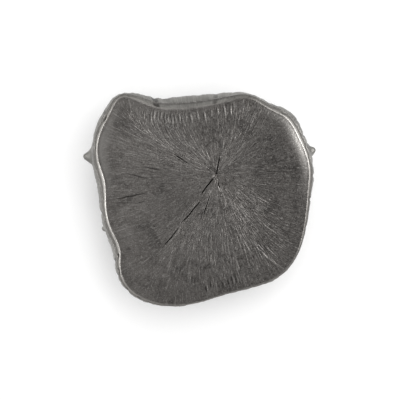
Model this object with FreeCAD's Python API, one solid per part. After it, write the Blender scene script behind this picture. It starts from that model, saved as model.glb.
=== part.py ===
"""Side table cast in aluminium as a section of tree trunk, stripped of its bark.

A hollow trunk casting carries a separate top casting, whose face is the sawn end of the log.
A gasket and four bolts hold the top. A steel plate closes the bottom and carries four
levelling feet, each a threaded stud that turns in a pad that doesn't.

Millimetres, +Z up. The origin is on the floor, under the middle of the overall box.
"""
import FreeCAD, Part
import math
import os

Vector = FreeCAD.Vector
UP = Vector(0, 0, 1)

# ---------------------------------------------------------------- driving dimensions
HEIGHT = 460.0            # floor to table top, feet wound in
FACE_WIDTH = 430.0        # across the face, left to right
FACE_DEPTH = 420.0        # across the face, front to back
FLOOR_GAP = 8.0           # floor to the trunk's lower edge
WALL = 6.0                # trunk and skirt wall

TOP_THICKNESS = 7.0       # face plate of the top casting
SKIRT_DEPTH = 16.0        # table top to the joint under the top casting
RIM_ROLL = 7.0            # height of the rolled edge around the face
RIM_ROLL_IN = 5.0         # how far the roll comes in over the face
SHOULDER_DEPTH = 34.0     # depth at which the swell below the rim is full
GASKET_THICKNESS = 1.0
GASKET_INSET = 0.6        # gasket's edges inside the wall's two faces
SPIGOT_WALL = 6.0
SPIGOT_DEPTH = 9.0        # below the gasket's underside
SPIGOT_ROOT = 3.0         # how far it runs up into the skirt
SPIGOT_CLEARANCE = 0.5

EAR_DEPTH = 32.0          # table top to the top of the trunk's bolting ears
EAR_THICKNESS = 12.0
EAR_STATIONS = (3, 11, 20, 27)
EAR_REACH = 24.0          # inner wall to the bolt's centre
EAR_RADIUS = 15.0
BOSS_RADIUS = 11.0        # bosses under the top casting
BOSS_GAP = 0.5            # boss end to ear, so that the bolts close the gasket
HUB_RADIUS = 16.0
RIB_THICKNESS = 5.0
RIB_DEPTH = 13.0
TOP_BOLT_RADIUS = 4.0
TOP_BOLT_GRIP = 14.0      # thread inside the boss

PLATE_THICKNESS = 3.0
PLATE_RECESS = 10.0       # trunk's lower edge to the underside of the plate
PLATE_CLEARANCE = 1.0     # plate's edge to the wall
LUG_RADIUS = 9.0
LUG_HEIGHT = 28.0
LUG_REACH = 8.0           # inner wall to the screw's centre
LUG_STATIONS = (1, 6, 11, 16, 21, 26)
PLATE_SCREW_RADIUS = 3.0
PLATE_SCREW_GRIP = 16.0   # thread inside the lug

THREAD_CLEARANCE = 0.05   # screw to tapped hole, radial
SHANK_CLEARANCE = 0.5     # screw to plain hole, radial
BLIND_ROOM = 4.0          # tapped hole past the screw's end
WASHER_THICKNESS = 1.6
WASHER_SHARE = 2.0        # washer's outer radius for each radius of its screw
HEAD_SHARE = 1.3          # head height for each radius of a screw
HEX_SHARE = 3.25          # width across flats for each radius of a screw

STUD_RADIUS = 5.0
STUD_CHAMFER = 1.0
FOOT_TRAVEL = 12.0        # how far a foot winds out
NUT_HEIGHT = 8.0
NUT_FLATS = 17.0
SOLE_THICKNESS = 3.0
SOLE_RADIUS = 18.5
SOLE_ROUND = 1.0
PAD_RADIUS = 20.0
PAD_EDGE = 3.0            # straight edge of the pad
PAD_HEIGHT = 7.0
PAD_TOP_RADIUS = 12.5
COLLAR_RADIUS = 8.0       # flange at the stud's foot, inside the pad
COLLAR_THICKNESS = 3.0
COLLAR_CLEARANCE = 0.3
HEX_FLATS = 14.0          # spanner flats on the stud
RUNNING_GAP = 0.3         # stud's hex to the pad below and the plate above
FOOT_INSET_X = 90.0       # side of the face to a foot's axis
FOOT_INSET_Y = 92.0       # front of the face to a foot's axis

WAIST = 0.035             # how much narrower the log is at mid height
FOOT_FLARE = 0.045        # how much wider it is at the floor
FLARE_START = 0.6         # where the flare starts, as a share of the height
FOLD_START = 120.0        # the folds reach full strength this far below the shoulder
BROAD_FOLD = (5.0, 1.7, 95.0)     # height, turn for each station, drop for each turn
FINE_FOLD = (3.0, 2.9, -60.0)

# The log's outline at its rim, anticlockwise from the right: x, y and how far the trunk
# swells out past the rim just below it.
STATIONS = [
    (222, 40, 11), (218, 86, 12), (199, 131, 14), (175, 167, 17), (140, 186, 14), (98, 207, 12),
    (62, 201, 20), (20, 191, 25), (-30, 184, 28), (-80, 186, 23), (-122, 201, 15), (-158, 208, 12),
    (-184, 174, 16), (-207, 121, 14), (-208, 83, 13), (-195, 38, 17), (-192, -10, 14), (-182, -57, 15),
    (-164, -100, 16), (-163, -136, 12), (-147, -175, 10), (-106, -202, 9), (-55, -212, 7), (0, -205, 4),
    (56, -188, 5), (111, -173, 6), (164, -149, 6), (195, -111, 5), (211, -60, 6), (218, -8, 8),
]
COUNT = len(STATIONS)


def stretch(axis, size):
    """How much the outline is widened along an axis for the face to be this size."""
    places = [station[axis] for station in STATIONS]
    return size / (max(places) - min(places))


STRETCH_X, STRETCH_Y = stretch(0, FACE_WIDTH), stretch(1, FACE_DEPTH)

# Branch stubs: station, depth below the top, how far they stand out, radius at the skin and
# at the tip.
KNOTS = [
    (13.75, 72, 25, 34, 9),
    (1.25, 50, 15, 20, 8),
    (16.95, 96, 17, 27, 8),
    (5.4, 215, 15, 26, 8),
    (22.6, 160, 13, 21, 6),
    (25.8, 300, 18, 30, 9),
    (10.2, 330, 15, 24, 7),
    (28.2, 205, 8, 16, 5),
]
KNOT_ROOT = 7.0           # stub's root below the skin
KNOT_FLARE = 1.6          # how quickly the collar opens out
KNOT_RISE = 0.12          # stubs point up by this slope
TIP_NECK = 0.8            # the tip's dome is this share of its radius high
TIP_BROW = (0.62, 0.18)   # radius and drop of a ring on the dome, as shares of its radius

# Drying splits in the face: start, end, width at the middle, depth. They run out from the pith.
PITH = (33, 51)
PITH_RADIUS = 3.5
PITH_DEPTH = 5.0
SPLITS = [
    ((40, 86), (33, 50), 4.0, 4.0),
    ((34, 54), (3, 12), 4.4, 4.5),
    ((36, 38), (41, 18), 2.4, 3.0),
    ((20, 8), (6, -34), 2.4, 3.0),
    ((3, 0), (-38, -44), 2.6, 3.0),
    ((-44, -56), (-80, -98), 2.2, 2.5),
    ((-104, 15), (-166, 3), 2.6, 3.0),
    ((-104, 42), (-146, 52), 2.0, 2.5),
    ((-20, 71), (-52, 92), 2.4, 2.5),
    ((-65, 130), (-70, 144), 2.0, 2.0),
]


# ---------------------------------------------------------------- the log's skin
def smooth(t):
    """0 to 1 with no corner at either end."""
    t = min(max(t, 0.0), 1.0)
    return t * t * (3 - 2 * t)


def roll_in(depth):
    """How far the rolled rim has turned in, at a depth below the table top."""
    share = 1 - min(depth / RIM_ROLL, 1.0)
    return RIM_ROLL_IN * (1 - math.sqrt(1 - share * share))


def flute(station, depth):
    """Slow folds that wander round the trunk on the way down."""
    strength = smooth((depth - SHOULDER_DEPTH) / FOLD_START)
    folds = (BROAD_FOLD, FINE_FOLD)
    return strength * sum(h * math.sin(turn * station + depth / drop) for h, turn, drop in folds)


def taper(depth):
    """How much wider the log is at a depth than at its rim, as a share of the width."""
    share = depth / HEIGHT
    flare = smooth((share - FLARE_START) / (1 - FLARE_START))
    return FOOT_FLARE * flare - WAIST * math.sin(math.pi * share)


def outward(ring):
    """Unit normals of a ring of points, pointing away from the log."""
    normals = []
    for i in range(len(ring)):
        before, after = ring[i - 1], ring[(i + 1) % len(ring)]
        dx, dy = after[0] - before[0], after[1] - before[1]
        length = math.hypot(dx, dy)
        normals.append((dy / length, -dx / length))
    return normals


def moved_out(ring, distances):
    """A ring with each point moved along its outward normal."""
    return [(x + nx * d, y + ny * d) for (x, y), (nx, ny), d in zip(ring, outward(ring), distances)]


def on_face(x, y):
    """A point of the drawn outline or face, at the face's real size."""
    return x * STRETCH_X, y * STRETCH_Y


def skin(depth):
    """The ring of points on the log's skin at a depth below the table top."""
    rim = [on_face(x, y) for x, y, _ in STATIONS]
    swell = smooth(depth / SHOULDER_DEPTH)
    grown = [b * swell - roll_in(depth) + flute(i, depth) for i, (_, _, b) in enumerate(STATIONS)]
    share = taper(depth)
    return [(x * (1 + share), y * (1 + share)) for x, y in moved_out(rim, grown)]


def inside(depth, by):
    """The skin's ring at a depth, moved in by a distance."""
    return moved_out(skin(depth), [-by] * COUNT)


def level(depth):
    """Height of a depth below the table top."""
    return HEIGHT - depth


def ring_wire(ring, z):
    curve = Part.BSplineCurve()
    curve.interpolate(Points=[Vector(x, y, z) for x, y in ring], PeriodicFlag=True)
    return Part.Wire([curve.toShape()])


def log_solid(depths, by=0.0):
    """Solid through the log's rings at these depths, by that far inside the skin."""
    wires = [ring_wire(inside(d, by), level(d)) for d in sorted(depths, reverse=True)]
    return Part.makeLoft(wires, True, False)


def slab(ring, z, height):
    return Part.Face(ring_wire(ring, z)).extrude(Vector(0, 0, height))


def tube(depth, by, wall, z, height):
    """Upright tube whose outer face is that far inside the skin's ring at a depth."""
    return slab(inside(depth, by), z, height).cut(slab(inside(depth, by + wall), z, height))


def spread(first, last, count):
    return [first + (last - first) * k / (count - 1) for k in range(count)]


def on_ring(ring, station):
    """Point on a ring at a station number that may lie between two stations."""
    i = int(math.floor(station))
    share = station - i
    (ax, ay), (bx, by) = ring[i % COUNT], ring[(i + 1) % COUNT]
    return ax + (bx - ax) * share, ay + (by - ay) * share


# ---------------------------------------------------------------- small shapes
def cylinder(x, y, z, radius, height):
    return Part.makeCylinder(radius, height, Vector(x, y, z), UP)


def hexagon(x, y, z, flats, height):
    corner = flats / math.sqrt(3)
    turns = [math.radians(60 * k) for k in range(7)]
    points = [Vector(x + corner * math.cos(t), y + corner * math.sin(t), z) for t in turns]
    return Part.Face(Part.makePolygon(points)).extrude(Vector(0, 0, height))


def washer(x, y, z, hole, radius, thickness):
    return cylinder(x, y, z, radius, thickness).cut(cylinder(x, y, z, hole, thickness))


def revolved(profile, x, y):
    """Solid turned about the vertical line at x, y from (radius, height) points."""
    points = [Vector(r, 0, h) for r, h in profile]
    face = Part.Face(Part.makePolygon(points + points[:1]))
    solid = face.revolve(Vector(0, 0, 0), UP, 360)
    solid.translate(Vector(x, y, 0))
    return solid


def merged(shape):
    """The same shape, with faces that lie on one surface joined."""
    return shape.removeSplitter()


# ---------------------------------------------------------------- places
JOINT_LEVEL = level(SKIRT_DEPTH)                   # underside of the top casting's skirt
TRUNK_TOP_DEPTH = SKIRT_DEPTH + GASKET_THICKNESS
TRUNK_FOOT_DEPTH = HEIGHT - FLOOR_GAP
PLATE_LEVEL = FLOOR_GAP + PLATE_RECESS             # underside of the base plate
LUG_LEVEL = PLATE_LEVEL + PLATE_THICKNESS
PAD_LEVEL = SOLE_THICKNESS
PAD_TOP = PAD_LEVEL + PAD_HEIGHT


def inward_point(depth, station, reach):
    """Point that far inside the trunk's inner wall at a station."""
    return on_ring(inside(depth, WALL + reach), station)


def ear_places():
    return [inward_point(EAR_DEPTH, s, EAR_REACH) for s in EAR_STATIONS]


def lug_places():
    return [inward_point(HEIGHT - LUG_LEVEL, s, LUG_REACH) for s in LUG_STATIONS]


def foot_places():
    x, y = FACE_WIDTH / 2 - FOOT_INSET_X, FACE_DEPTH / 2 - FOOT_INSET_Y
    return [(x, y), (-x, y), (-x, -y), (x, -y)]


# ---------------------------------------------------------------- castings
def knot(station, depth, stand_out, radius, tip):
    """Branch stub whose collar flares into the trunk, its root buried in the wall."""
    ring = skin(depth)
    x, y = on_ring(ring, station)
    nx, ny = outward(ring)[int(round(station)) % COUNT]
    cap = stand_out - tip * TIP_NECK
    heights = [-KNOT_ROOT, -KNOT_ROOT / 2] + spread(0, cap, 4)
    opened = [(1 - min(max(h, 0) / cap, 1)) ** KNOT_FLARE for h in heights]
    flare = [Vector(tip + (radius - tip) * share, 0, h) for h, share in zip(heights, opened)]
    brow = Vector(tip * TIP_BROW[0], 0, stand_out - tip * TIP_BROW[1])
    outline = flare + [brow, Vector(0, 0, stand_out)]
    curve = Part.BSplineCurve()
    curve.interpolate(Points=outline)
    root = Vector(0, 0, -KNOT_ROOT)
    straights = Part.makeLine(outline[-1], root), Part.makeLine(root, outline[0])
    stub = Part.Face(Part.Wire([curve.toShape(), *straights])).revolve(Vector(0, 0, 0), UP, 360)
    facing = FreeCAD.Rotation(UP, Vector(nx, ny, KNOT_RISE))
    stub.Placement = FreeCAD.Placement(Vector(x, y, level(depth)), facing)
    return stub


def ear(x, y, outer):
    """Bolting ear: a round tab run out into the wall."""
    bottom = level(EAR_DEPTH + EAR_THICKNESS)
    reach = EAR_REACH + WALL
    length = math.hypot(x, y)
    ux, uy = x / length, y / length
    sx, sy = -uy * EAR_RADIUS, ux * EAR_RADIUS
    corners = [Vector(x + sx, y + sy, bottom), Vector(x - sx, y - sy, bottom),
               Vector(x - sx + ux * reach, y - sy + uy * reach, bottom),
               Vector(x + sx + ux * reach, y + sy + uy * reach, bottom)]
    tab = Part.Face(Part.makePolygon(corners + corners[:1])).extrude(Vector(0, 0, EAR_THICKNESS))
    tab = tab.fuse(cylinder(x, y, bottom, EAR_RADIUS, EAR_THICKNESS))
    return merged(tab).common(outer)


def trunk_casting():
    depths = [TRUNK_TOP_DEPTH] + spread(SHOULDER_DEPTH, TRUNK_FOOT_DEPTH, 8)
    past_top, past_foot = TRUNK_TOP_DEPTH - 2, TRUNK_FOOT_DEPTH + 2
    hollow = log_solid([past_top] + depths + [past_foot], WALL)
    middle = log_solid(depths, WALL / 2)
    solid = log_solid(depths).fuse([knot(*k) for k in KNOTS]).cut(hollow)
    lugs = [cylinder(x, y, LUG_LEVEL, LUG_RADIUS, LUG_HEIGHT).common(middle) for x, y in lug_places()]
    solid = solid.fuse([ear(x, y, middle) for x, y in ear_places()] + lugs)
    ear_hole, lug_hole = TOP_BOLT_RADIUS + SHANK_CLEARANCE, PLATE_SCREW_RADIUS + THREAD_CLEARANCE
    ear_foot, lug_bore = level(EAR_DEPTH + EAR_THICKNESS), PLATE_SCREW_GRIP + BLIND_ROOM
    holes = [cylinder(x, y, ear_foot, ear_hole, EAR_THICKNESS) for x, y in ear_places()]
    holes += [cylinder(x, y, LUG_LEVEL, lug_hole, lug_bore) for x, y in lug_places()]
    return solid.cut(holes)


def split(start, end, width, depth):
    """Sliver cut into the face, pointed at both ends."""
    (ax, ay), (bx, by) = start, end
    (ax, ay), (bx, by) = on_face(ax, ay), on_face(bx, by)
    mx, my = (ax + bx) / 2, (ay + by) / 2
    length = math.hypot(bx - ax, by - ay)
    sx, sy = -(by - ay) / length * width / 2, (bx - ax) / length * width / 2
    corners = [(ax, ay), (mx + sx, my + sy), (bx, by), (mx - sx, my - sy)]
    points = [Vector(x, y, HEIGHT) for x, y in corners]
    return Part.Face(Part.makePolygon(points + points[:1])).extrude(Vector(0, 0, -depth))


def top_casting():
    depths = [RIM_ROLL * share for share in (0.0, 0.12, 0.35, 0.7, 1.0)] + [SKIRT_DEPTH]
    spigot_by, foot = WALL + SPIGOT_CLEARANCE, TRUNK_TOP_DEPTH + SPIGOT_DEPTH
    plug = slab(inside(SKIRT_DEPTH, spigot_by), level(foot), foot - SKIRT_DEPTH + SPIGOT_ROOT)
    pocket = slab(inside(SKIRT_DEPTH, spigot_by + SPIGOT_WALL), level(foot), foot - TOP_THICKNESS)
    underside = level(TOP_THICKNESS)
    boss_foot = level(EAR_DEPTH) + BOSS_GAP
    added = [cylinder(0, 0, underside - RIB_DEPTH, HUB_RADIUS, RIB_DEPTH)]
    for x, y in ear_places():
        added.append(cylinder(x, y, boss_foot, BOSS_RADIUS, underside - boss_foot))
        rib = Part.makeBox(math.hypot(x, y), RIB_THICKNESS, RIB_DEPTH, Vector(0, -RIB_THICKNESS / 2, 0))
        rib.rotate(Vector(0, 0, 0), UP, math.degrees(math.atan2(y, x)))
        rib.translate(Vector(0, 0, underside - RIB_DEPTH))
        added.append(rib)
    solid = log_solid(depths).fuse(plug).cut(pocket).fuse(added)
    tapped, bore = TOP_BOLT_RADIUS + THREAD_CLEARANCE, TOP_BOLT_GRIP + BLIND_ROOM - BOSS_GAP
    holes = [cylinder(x, y, boss_foot, tapped, bore) for x, y in ear_places()]
    pith = cylinder(*on_face(*PITH), level(PITH_DEPTH), PITH_RADIUS, PITH_DEPTH)
    return solid.cut(holes + [pith] + [split(*s) for s in SPLITS])


def top_gasket():
    width = WALL - 2 * GASKET_INSET
    return tube(SKIRT_DEPTH, GASKET_INSET, width, JOINT_LEVEL - GASKET_THICKNESS, GASKET_THICKNESS)


# ---------------------------------------------------------------- fasteners
def bolt(x, y, head_top, radius, shank):
    """Hex-head screw pointing up, its head's upper face at head_top."""
    head = hexagon(x, y, head_top - HEAD_SHARE * radius, HEX_SHARE * radius, HEAD_SHARE * radius)
    return merged(head.fuse(cylinder(x, y, head_top, radius, shank)))


def bolt_group(places, seat, radius, shank):
    return Part.makeCompound([bolt(x, y, seat - WASHER_THICKNESS, radius, shank + WASHER_THICKNESS)
                              for x, y in places])


def washer_group(places, seat, radius):
    hole = radius + SHANK_CLEARANCE / 2
    outer = radius * WASHER_SHARE
    return Part.makeCompound([washer(x, y, seat - WASHER_THICKNESS, hole, outer, WASHER_THICKNESS)
                              for x, y in places])


# ---------------------------------------------------------------- base and feet
def base_plate():
    plate = slab(inside(HEIGHT - PLATE_LEVEL, WALL + PLATE_CLEARANCE), PLATE_LEVEL, PLATE_THICKNESS)
    holes = [(x, y, PLATE_SCREW_RADIUS) for x, y in lug_places()]
    holes += [(x, y, STUD_RADIUS) for x, y in foot_places()]
    for x, y, radius in holes:
        plate = plate.cut(cylinder(x, y, PLATE_LEVEL, radius + SHANK_CLEARANCE, PLATE_THICKNESS))
    return plate


def foot_nuts():
    nuts = []
    for x, y in foot_places():
        nut = hexagon(x, y, LUG_LEVEL, NUT_FLATS, NUT_HEIGHT)
        nuts.append(nut.cut(cylinder(x, y, LUG_LEVEL, STUD_RADIUS + THREAD_CLEARANCE, NUT_HEIGHT)))
    return Part.makeCompound(nuts)


def foot_sole(x, y):
    sole = cylinder(x, y, 0, SOLE_RADIUS, SOLE_THICKNESS)
    lower_rim = [edge for edge in sole.Edges if edge.BoundBox.ZMax < SOLE_THICKNESS / 2]
    return sole.makeFillet(SOLE_ROUND, lower_rim)


def foot_pad(x, y):
    """Pad with a pocket for the stud's collar, open below until the sole is stuck on."""
    pocket_top = PAD_LEVEL + COLLAR_CLEARANCE + COLLAR_THICKNESS + COLLAR_CLEARANCE
    pocket, bore = COLLAR_RADIUS + COLLAR_CLEARANCE, STUD_RADIUS + COLLAR_CLEARANCE
    outside = [(PAD_RADIUS, PAD_LEVEL), (PAD_RADIUS, PAD_LEVEL + PAD_EDGE), (PAD_TOP_RADIUS, PAD_TOP)]
    hollow = [(bore, PAD_TOP), (bore, pocket_top), (pocket, pocket_top), (pocket, PAD_LEVEL)]
    return revolved(outside + hollow, x, y)


def foot_stud(x, y):
    collar_foot = PAD_LEVEL + COLLAR_CLEARANCE
    top = LUG_LEVEL + NUT_HEIGHT + FOOT_TRAVEL + NUT_HEIGHT / 2
    stem = cylinder(x, y, collar_foot, STUD_RADIUS, top - STUD_CHAMFER - collar_foot)
    tip_foot = Vector(x, y, top - STUD_CHAMFER)
    tip = Part.makeCone(STUD_RADIUS, STUD_RADIUS - STUD_CHAMFER, STUD_CHAMFER, tip_foot, UP)
    hex_foot = PAD_TOP + RUNNING_GAP
    flats = hexagon(x, y, hex_foot, HEX_FLATS, PLATE_LEVEL - RUNNING_GAP - hex_foot)
    collar = cylinder(x, y, collar_foot, COLLAR_RADIUS, COLLAR_THICKNESS)
    return merged(stem.fuse([tip, flats, collar]))


# ---------------------------------------------------------------- assembly
def build():
    ears, lugs = ear_places(), lug_places()
    ear_seat = level(EAR_DEPTH + EAR_THICKNESS)
    top_shank, plate_shank = EAR_THICKNESS + TOP_BOLT_GRIP, PLATE_THICKNESS + PLATE_SCREW_GRIP
    nodes = {
        "top_casting": top_casting(),
        "trunk_casting": trunk_casting(),
        "top_gasket": top_gasket(),
        "top_bolts": bolt_group(ears, ear_seat, TOP_BOLT_RADIUS, top_shank),
        "top_washers": washer_group(ears, ear_seat, TOP_BOLT_RADIUS),
        "base_plate": base_plate(),
        "base_screws": bolt_group(lugs, PLATE_LEVEL, PLATE_SCREW_RADIUS, plate_shank),
        "base_washers": washer_group(lugs, PLATE_LEVEL, PLATE_SCREW_RADIUS),
        "foot_nuts": foot_nuts(),
    }
    for n, (x, y) in enumerate(foot_places(), start=1):
        nodes[f"foot_stud_{n}"] = foot_stud(x, y)
        nodes[f"foot_pad_{n}"] = foot_pad(x, y)
        nodes[f"foot_sole_{n}"] = foot_sole(x, y)
    return nodes


def main():
    nodes = build()
    box = nodes["trunk_casting"].optimalBoundingBox(False)
    centre = Vector(box.Center.x, box.Center.y, 0)
    os.makedirs("parts", exist_ok=True)
    for name, shape in nodes.items():
        shape.translate(-centre)
        shape.exportStep(f"parts/{name}.step")
    print("nodes", len(nodes), "box", [round(v, 1) for v in (box.XLength, box.YLength, HEIGHT)])
    for n, (x, y) in enumerate(foot_places(), start=1):
        print(f"foot {n} axis", round(x - centre.x, 3), round(y - centre.y, 3))


main()
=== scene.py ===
# %% [markdown]
# # A cast tree-trunk table
# This lesson dresses a side table that is cast in aluminium as a section of log. The moulded
# inside, the bolts and the levelling feet come ready-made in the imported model, which is the
# fixed frame here. Blender adds what a foundry and a finisher add: the sawn face with its
# rays and drying splits, the barked trunk with its branch stubs, and the metal finishes.

# %% Load the fixed frame
import math

import bmesh
import bpy
import numpy as np
from mathutils import Matrix, Vector, noise
from mathutils.bvhtree import BVHTree


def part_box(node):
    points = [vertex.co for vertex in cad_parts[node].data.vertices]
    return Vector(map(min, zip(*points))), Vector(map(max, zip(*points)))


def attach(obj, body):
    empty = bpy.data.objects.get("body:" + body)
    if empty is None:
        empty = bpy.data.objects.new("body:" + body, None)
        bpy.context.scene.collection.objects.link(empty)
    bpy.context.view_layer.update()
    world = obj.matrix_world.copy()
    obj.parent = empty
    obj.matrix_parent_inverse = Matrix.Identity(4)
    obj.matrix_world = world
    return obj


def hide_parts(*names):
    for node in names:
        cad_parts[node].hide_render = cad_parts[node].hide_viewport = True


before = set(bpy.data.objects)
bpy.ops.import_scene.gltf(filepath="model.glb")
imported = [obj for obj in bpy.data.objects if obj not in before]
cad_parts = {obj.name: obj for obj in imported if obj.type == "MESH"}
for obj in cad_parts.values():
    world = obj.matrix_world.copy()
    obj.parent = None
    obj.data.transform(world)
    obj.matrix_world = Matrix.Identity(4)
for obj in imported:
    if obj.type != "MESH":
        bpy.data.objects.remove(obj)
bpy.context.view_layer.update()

MM = 0.001
TURN = 2 * math.pi
scene = bpy.context.scene

# %% [markdown]
# The places that everything else is worked out from are read from the frame: the table top's
# height, the joint under the top casting, the trunk's lower edge, and the middle of the face,
# which is where the lines between opposite feet cross.

# %% Levels and the middle, read from the frame
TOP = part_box("top_casting")[1][2]
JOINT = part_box("top_gasket")[1][2]
TRUNK_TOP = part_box("trunk_casting")[1][2]
TRUNK_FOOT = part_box("trunk_casting")[0][2]
stud_boxes = [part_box(f"foot_stud_{n}") for n in (1, 2, 3, 4)]
MIDDLE = np.mean([(np.array(low) + np.array(high)) / 2 for low, high in stud_boxes], axis=0)[:2]
print(f"top {TOP:.4f}, joint {JOINT:.4f}, trunk {TRUNK_FOOT:.4f} to {TRUNK_TOP:.4f} m")
print(f"middle of the face at {MIDDLE.round(4)}")

# %% [markdown]
# ## The studio
# The camera looks straight down on the face, from far enough for little perspective.

# %% Camera, straight above the face
LENS, SENSOR = 100 * MM, 36 * MM
VIEW_WIDTH = 0.8
camera_data = bpy.data.cameras.new("camera")
camera_data.lens, camera_data.sensor_width = LENS / MM, SENSOR / MM
camera = bpy.data.objects.new("camera", camera_data)
camera.location = (*MIDDLE, TOP + VIEW_WIDTH * LENS / SENSOR)
scene.collection.objects.link(camera)
scene.camera = camera
print(f"camera {camera.location.z:.3f} m above the floor")


# %% Helper: put a mesh in the scene
def new_object(name, mesh):
    made = bpy.data.objects.new(name, mesh)
    scene.collection.objects.link(made)
    return made


# %% [markdown]
# A white sweep of paper would do for a floor. One flat square is enough, because the camera
# looks down on it. It is lit by a lamp of its own, so that the metal can be lit from the
# sides and stay dark where it faces up.

# %% Floor
FLOOR_HALF = 6.0
floor_material = bpy.data.materials.new("white_paper")
floor_material.use_nodes = True
paper = floor_material.node_tree.nodes["Principled BSDF"]
paper.inputs["Base Color"].default_value = (0.9, 0.9, 0.9, 1)
paper.inputs["Roughness"].default_value = 0.9
shape = bmesh.new()
bmesh.ops.create_grid(shape, x_segments=1, y_segments=1, size=FLOOR_HALF)
floor_mesh = bpy.data.meshes.new("floor")
shape.to_mesh(floor_mesh)
shape.free()
floor = new_object("floor", floor_mesh)
floor.data.materials.append(floor_material)


# %% [markdown]
# Two soft boxes stand low at the sides and rake across the face, so that each ridge has a
# bright flank and a dark one. The floor has its own lamp, almost straight overhead.

# %% Lights
FLOOR_LAMP_HEIGHT, FLOOR_LAMP_SIZE = 9.0, (3.4, 3.4)


def softbox(name, azimuth, elevation, distance, size, power, aim=(0, 0, 0.4)):
    """Rectangular lamp that looks at a point from a compass direction."""
    data = bpy.data.lights.new(name, "AREA")
    data.shape = "RECTANGLE"
    data.size, data.size_y = size
    data.energy = power
    lamp = new_object(name, data)
    turn, rise = math.radians(azimuth), math.radians(elevation)
    way = Vector((math.cos(turn) * math.cos(rise), math.sin(turn) * math.cos(rise), math.sin(rise)))
    lamp.location = Vector(aim) + way * distance
    lamp.rotation_euler = (-way).to_track_quat("-Z", "Y").to_euler()
    return lamp


def only_for(lamp, receivers):
    """The lamp lights nothing but these objects. Everything still casts its shadow."""
    group = bpy.data.collections.new(f"{lamp.name}_receivers")
    for receiver in receivers:
        group.objects.link(receiver)
    lamp.light_linking.receiver_collection = group


right_box = softbox("right_box", 22, 36, 2.6, (2.9, 1.2), 74)
left_box = softbox("left_box", 176, 27, 2.6, (2.4, 0.7), 30)
floor_lamp = softbox("floor_lamp", 40, 86.5, FLOOR_LAMP_HEIGHT, FLOOR_LAMP_SIZE, 740, aim=(0, 0, 0))
only_for(floor_lamp, [floor])

# %% Sky: pale at the horizon, dimmer overhead
HORIZON, ZENITH = 0.5, 0.3
world = bpy.data.worlds.new("studio")
world.use_nodes = True
sky = world.node_tree
direction = sky.nodes.new("ShaderNodeTexCoord")
parts = sky.nodes.new("ShaderNodeSeparateXYZ")
fade = sky.nodes.new("ShaderNodeMapRange")
fade.inputs["From Max"].default_value = 0.7
fade.inputs["To Min"].default_value = HORIZON
fade.inputs["To Max"].default_value = ZENITH
sky.links.new(direction.outputs["Generated"], parts.inputs["Vector"])
sky.links.new(parts.outputs["Z"], fade.inputs["Value"])
sky.links.new(fade.outputs["Result"], sky.nodes["Background"].inputs["Strength"])
sky.nodes["Background"].inputs["Color"].default_value = (1, 1, 1, 1)
scene.world = world
scene.view_settings.view_transform = "Standard"

# %% [markdown]
# ## The log's outline
# Both castings follow the same log. Its outline isn't drawn again: rays shot at the imported
# casting from all round find its skin at any height, so the new surface can't stray from it.


# %% Helpers that read the imported castings
def merged_copy(node):
    """A bmesh copy of a node with its loose triangles joined."""
    copy = bmesh.new()
    copy.from_mesh(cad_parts[node].data)
    bmesh.ops.remove_doubles(copy, verts=copy.verts, dist=0.01 * MM)
    return copy


def skin_tree(node):
    copy = merged_copy(node)
    tree = BVHTree.FromBMesh(copy)
    copy.free()
    return tree


OUTSIDE_REACH = 0.4


def cast_ring(tree, angles, height, outward=False):
    """Where level rays meet the skin at a height, one point for each angle."""
    centre, ring = Vector((*MIDDLE, height)), []
    for angle in angles:
        way = Vector((math.cos(angle), math.sin(angle), 0))
        start, heading = (centre, way) if outward else (centre + way * OUTSIDE_REACH, -way)
        ring.append(tree.ray_cast(start, heading)[0][:])
    return np.array(ring)


def even_angles(tree, height, count):
    """Angles whose points are the same distance apart along the skin, and that skin's length."""
    fine = np.linspace(0, TURN, 7200, endpoint=False)
    ring = cast_ring(tree, fine, height)[:, :2]
    gaps = np.hypot(*(np.roll(ring, -1, axis=0) - ring).T)
    travelled = np.concatenate([[0], np.cumsum(gaps)])
    wanted = np.linspace(0, travelled[-1], count, endpoint=False)
    return np.interp(wanted, travelled, np.append(fine, TURN)), travelled[-1]


def softened(ring, reach):
    """A closed ring's values averaged with their neighbours over a reach in points."""
    steps = np.fft.fftfreq(len(ring))
    kept = np.exp(-2 * (np.pi * steps * reach) ** 2)
    return np.real(np.fft.ifft(np.fft.fft(ring, axis=0) * kept[:, None], axis=0))


top_tree, trunk_tree = skin_tree("top_casting"), skin_tree("trunk_casting")


# %% [markdown]
# A casting's shell is pulled up like a sock: a first ring of points, then ring after ring
# extruded from the edge of the last one and moved to its place.

# %% Helpers that pull a shell ring by ring
def first_ring(shape, places):
    verts = bmesh.ops.create_circle(shape, segments=len(places), radius=1)["verts"]
    for vert, place in zip(verts, places):
        vert.co = place
    return verts


def ring_edges(shape, ring):
    return [shape.edges.get((ring[i - 1], ring[i])) for i in range(len(ring))]


def next_ring(shape, ring, places):
    """Extrudes a ring of verts and moves the new one to these places."""
    grown = bmesh.ops.extrude_edge_only(shape, edges=ring_edges(shape, ring))["geom"]
    fresh = {part for part in grown if isinstance(part, bmesh.types.BMVert)}
    new = [next(e.other_vert(v) for e in v.link_edges if e.other_vert(v) in fresh) for v in ring]
    for vert, place in zip(new, places):
        vert.co = place
    return new


def halve(shape, ring):
    """Welds every second vert of a ring to the one before it."""
    bmesh.ops.weld_verts(shape, targetmap={ring[i]: ring[i - 1] for i in range(1, len(ring), 2)})
    return ring[::2]


def at_height(ring, height):
    return np.column_stack([ring[:, :2], np.full(len(ring), height)])


def moved_in(ring, distance, reach=6):
    """A ring of points moved in at right angles to its own line."""
    line = softened(ring[:, :2], reach)
    along = np.roll(line, -1, axis=0) - np.roll(line, 1, axis=0)
    along /= np.hypot(*along.T)[:, None]
    inward = np.column_stack([-along[:, 1], along[:, 0]])
    return np.column_stack([ring[:, :2] + inward * distance, ring[:, 2]])


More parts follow.
